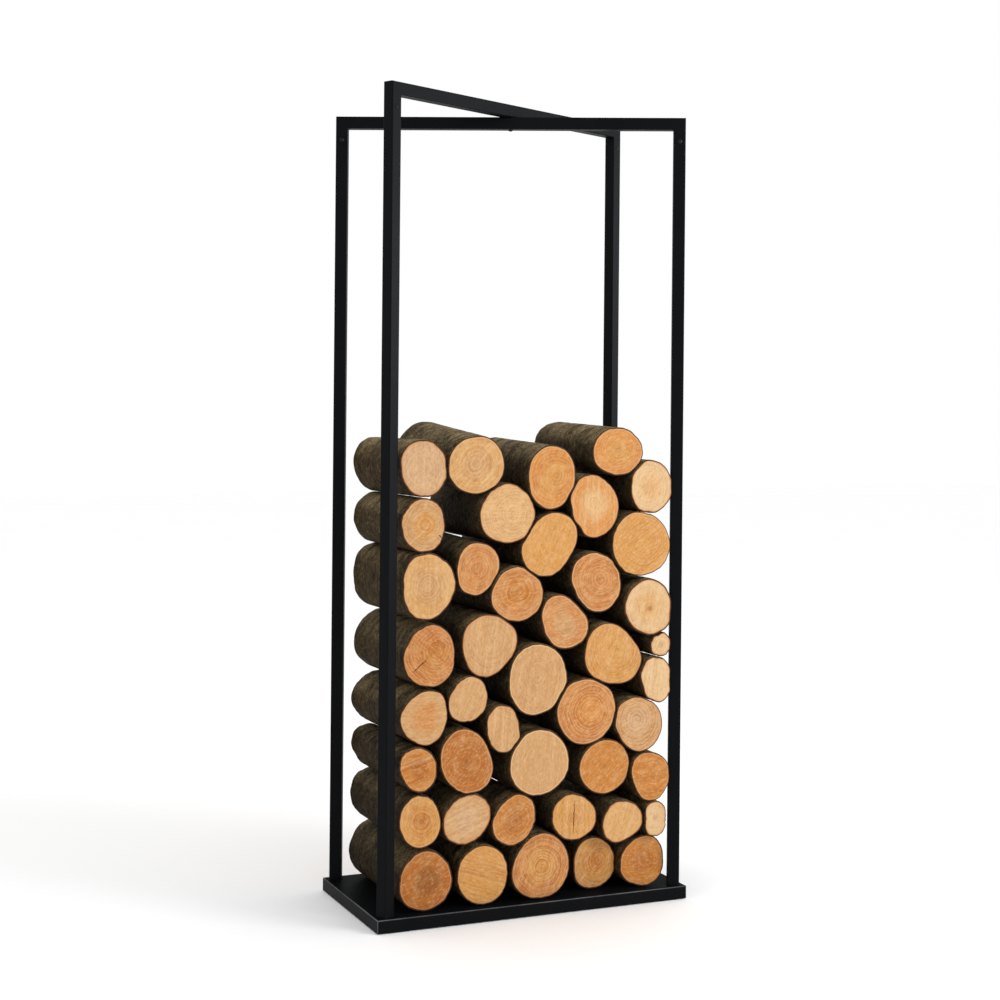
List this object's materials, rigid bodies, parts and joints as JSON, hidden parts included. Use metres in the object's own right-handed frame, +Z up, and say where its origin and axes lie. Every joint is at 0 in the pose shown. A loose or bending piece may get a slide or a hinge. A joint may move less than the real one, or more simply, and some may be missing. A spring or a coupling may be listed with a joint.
{
  "type": "firewood log rack",
  "caption": "Tall black firewood rack: shallow sheet base, two square-tube hoops crossing on the diagonals, filled with sawn round logs that pull out forwards.",
  "frame": {"origin": "on the floor under the middle of the base", "axes": "+Z up, +X to the right and -Y towards a person who stands in front of the sawn ends of the logs"},
  "size_m": [0.6, 0.3, 1.45],
  "materials": {
    "powder_coat": "satin black powder coat",
    "black_screws": "black oxide",
    "zinc": "zinc plated",
    "nylon": "moulded nylon",
    "rubber_pad": "matt",
    "firewood": "rough sawn ends, bark on the sides"
  },
  "bodies": {
    "rack": {"base_tray": "powder_coat", "deck_rib_front": "powder_coat", "deck_rib_back": "powder_coat", "foot_pads": "rubber_pad", "post_front_left": "powder_coat", "post_front_right": "powder_coat", "post_back_left": "powder_coat", "post_back_right": "powder_coat", "top_bar_upper": "powder_coat", "top_bar_lower": "powder_coat", "corner_spigots": "nylon", "corner_screws": "black_screws", "crossing_screw": "black_screws", "crossing_nut": "zinc", "post_plugs": "zinc", "base_bolts": "zinc", "base_washers": "zinc"},
    "log_01": {"log_01": "firewood"},
    "log_02": {"log_02": "firewood"},
    "log_03": {"log_03": "firewood"},
    "log_04": {"log_04": "firewood"},
    "log_05": {"log_05": "firewood"},
    "log_06": {"log_06": "firewood"},
    "log_07": {"log_07": "firewood"},
    "log_08": {"log_08": "firewood"},
    "log_09": {"log_09": "firewood"},
    "log_10": {"log_10": "firewood"},
    "log_11": {"log_11": "firewood"},
    "log_12": {"log_12": "firewood"},
    "log_13": {"log_13": "firewood"},
    "log_14": {"log_14": "firewood"},
    "log_15": {"log_15": "firewood"},
    "log_16": {"log_16": "firewood"},
    "log_17": {"log_17": "firewood"},
    "log_18": {"log_18": "firewood"},
    "log_19": {"log_19": "firewood"},
    "log_20": {"log_20": "firewood"},
    "log_21": {"log_21": "firewood"},
    "log_22": {"log_22": "firewood"},
    "log_23": {"log_23": "firewood"},
    "log_24": {"log_24": "firewood"},
    "log_25": {"log_25": "firewood"},
    "log_26": {"log_26": "firewood"},
    "log_27": {"log_27": "firewood"},
    "log_28": {"log_28": "firewood"},
    "log_29": {"log_29": "firewood"},
    "log_30": {"log_30": "firewood"},
    "log_31": {"log_31": "firewood"},
    "log_32": {"log_32": "firewood"},
    "log_33": {"log_33": "firewood"},
    "log_34": {"log_34": "firewood"},
    "log_35": {"log_35": "firewood"},
    "log_36": {"log_36": "firewood"},
    "log_37": {"log_37": "firewood"},
    "log_38": {"log_38": "firewood"},
    "log_39": {"log_39": "firewood"},
    "log_40": {"log_40": "firewood"},
    "log_41": {"log_41": "firewood"},
    "log_42": {"log_42": "firewood"},
    "log_43": {"log_43": "firewood"}
  },
  "joints": [
    {"name": "pull_log_01", "type": "slide", "parent": "rack", "child": "log_01", "axis": [0, -1, 0], "range_m": [0, 0.29]},
    {"name": "pull_log_02", "type": "slide", "parent": "rack", "child": "log_02", "axis": [0, -1, 0], "range_m": [0, 0.29]},
    {"name": "pull_log_03", "type": "slide", "parent": "rack", "child": "log_03", "axis": [0, -1, 0], "range_m": [0, 0.29]},
    {"name": "pull_log_04", "type": "slide", "parent": "rack", "child": "log_04", "axis": [0, -1, 0], "range_m": [0, 0.29]},
    {"name": "pull_log_05", "type": "slide", "parent": "rack", "child": "log_05", "axis": [0, -1, 0], "range_m": [0, 0.29]},
    {"name": "pull_log_06", "type": "slide", "parent": "rack", "child": "log_06", "axis": [0, -1, 0], "range_m": [0, 0.29]},
    {"name": "pull_log_07", "type": "slide", "parent": "rack", "child": "log_07", "axis": [0, -1, 0], "range_m": [0, 0.29]},
    {"name": "pull_log_08", "type": "slide", "parent": "rack", "child": "log_08", "axis": [0, -1, 0], "range_m": [0, 0.29]},
    {"name": "pull_log_09", "type": "slide", "parent": "rack", "child": "log_09", "axis": [0, -1, 0], "range_m": [0, 0.29]},
    {"name": "pull_log_10", "type": "slide", "parent": "rack", "child": "log_10", "axis": [0, -1, 0], "range_m": [0, 0.29]},
    {"name": "pull_log_11", "type": "slide", "parent": "rack", "child": "log_11", "axis": [0, -1, 0], "range_m": [0, 0.29]},
    {"name": "pull_log_12", "type": "slide", "parent": "rack", "child": "log_12", "axis": [0, -1, 0], "range_m": [0, 0.29]},
    {"name": "pull_log_13", "type": "slide", "parent": "rack", "child": "log_13", "axis": [0, -1, 0], "range_m": [0, 0.29]},
    {"name": "pull_log_14", "type": "slide", "parent": "rack", "child": "log_14", "axis": [0, -1, 0], "range_m": [0, 0.29]},
    {"name": "pull_log_15", "type": "slide", "parent": "rack", "child": "log_15", "axis": [0, -1, 0], "range_m": [0, 0.29]},
    {"name": "pull_log_16", "type": "slide", "parent": "rack", "child": "log_16", "axis": [0, -1, 0], "range_m": [0, 0.29]},
    {"name": "pull_log_17", "type": "slide", "parent": "rack", "child": "log_17", "axis": [0, -1, 0], "range_m": [0, 0.29]},
    {"name": "pull_log_18", "type": "slide", "parent": "rack", "child": "log_18", "axis": [0, -1, 0], "range_m": [0, 0.29]},
    {"name": "pull_log_19", "type": "slide", "parent": "rack", "child": "log_19", "axis": [0, -1, 0], "range_m": [0, 0.29]},
    {"name": "pull_log_20", "type": "slide", "parent": "rack", "child": "log_20", "axis": [0, -1, 0], "range_m": [0, 0.29]},
    {"name": "pull_log_21", "type": "slide", "parent": "rack", "child": "log_21", "axis": [0, -1, 0], "range_m": [0, 0.29]},
    {"name": "pull_log_22", "type": "slide", "parent": "rack", "child": "log_22", "axis": [0, -1, 0], "range_m": [0, 0.29]},
    {"name": "pull_log_23", "type": "slide", "parent": "rack", "child": "log_23", "axis": [0, -1, 0], "range_m": [0, 0.29]},
    {"name": "pull_log_24", "type": "slide", "parent": "rack", "child": "log_24", "axis": [0, -1, 0], "range_m": [0, 0.29]},
    {"name": "pull_log_25", "type": "slide", "parent": "rack", "child": "log_25", "axis": [0, -1, 0], "range_m": [0, 0.29]},
    {"name": "pull_log_26", "type": "slide", "parent": "rack", "child": "log_26", "axis": [0, -1, 0], "range_m": [0, 0.29]},
    {"name": "pull_log_27", "type": "slide", "parent": "rack", "child": "log_27", "axis": [0, -1, 0], "range_m": [0, 0.29]},
    {"name": "pull_log_28", "type": "slide", "parent": "rack", "child": "log_28", "axis": [0, -1, 0], "range_m": [0, 0.29]},
    {"name": "pull_log_29", "type": "slide", "parent": "rack", "child": "log_29", "axis": [0, -1, 0], "range_m": [0, 0.29]},
    {"name": "pull_log_30", "type": "slide", "parent": "rack", "child": "log_30", "axis": [0, -1, 0], "range_m": [0, 0.29]},
    {"name": "pull_log_31", "type": "slide", "parent": "rack", "child": "log_31", "axis": [0, -1, 0], "range_m": [0, 0.29]},
    {"name": "pull_log_32", "type": "slide", "parent": "rack", "child": "log_32", "axis": [0, -1, 0], "range_m": [0, 0.29]},
    {"name": "pull_log_33", "type": "slide", "parent": "rack", "child": "log_33", "axis": [0, -1, 0], "range_m": [0, 0.29]},
    {"name": "pull_log_34", "type": "slide", "parent": "rack", "child": "log_34", "axis": [0, -1, 0], "range_m": [0, 0.29]},
    {"name": "pull_log_35", "type": "slide", "parent": "rack", "child": "log_35", "axis": [0, -1, 0], "range_m": [0, 0.29]},
    {"name": "pull_log_36", "type": "slide", "parent": "rack", "child": "log_36", "axis": [0, -1, 0], "range_m": [0, 0.29]},
    {"name": "pull_log_37", "type": "slide", "parent": "rack", "child": "log_37", "axis": [0, -1, 0], "range_m": [0, 0.29]},
    {"name": "pull_log_38", "type": "slide", "parent": "rack", "child": "log_38", "axis": [0, -1, 0], "range_m": [0, 0.29]},
    {"name": "pull_log_39", "type": "slide", "parent": "rack", "child": "log_39", "axis": [0, -1, 0], "range_m": [0, 0.29]},
    {"name": "pull_log_40", "type": "slide", "parent": "rack", "child": "log_40", "axis": [0, -1, 0], "range_m": [0, 0.29]},
    {"name": "pull_log_41", "type": "slide", "parent": "rack", "child": "log_41", "axis": [0, -1, 0], "range_m": [0, 0.29]},
    {"name": "pull_log_42", "type": "slide", "parent": "rack", "child": "log_42", "axis": [0, -1, 0], "range_m": [0, 0.29]},
    {"name": "pull_log_43", "type": "slide", "parent": "rack", "child": "log_43", "axis": [0, -1, 0], "range_m": [0, 0.29]}
  ]
}
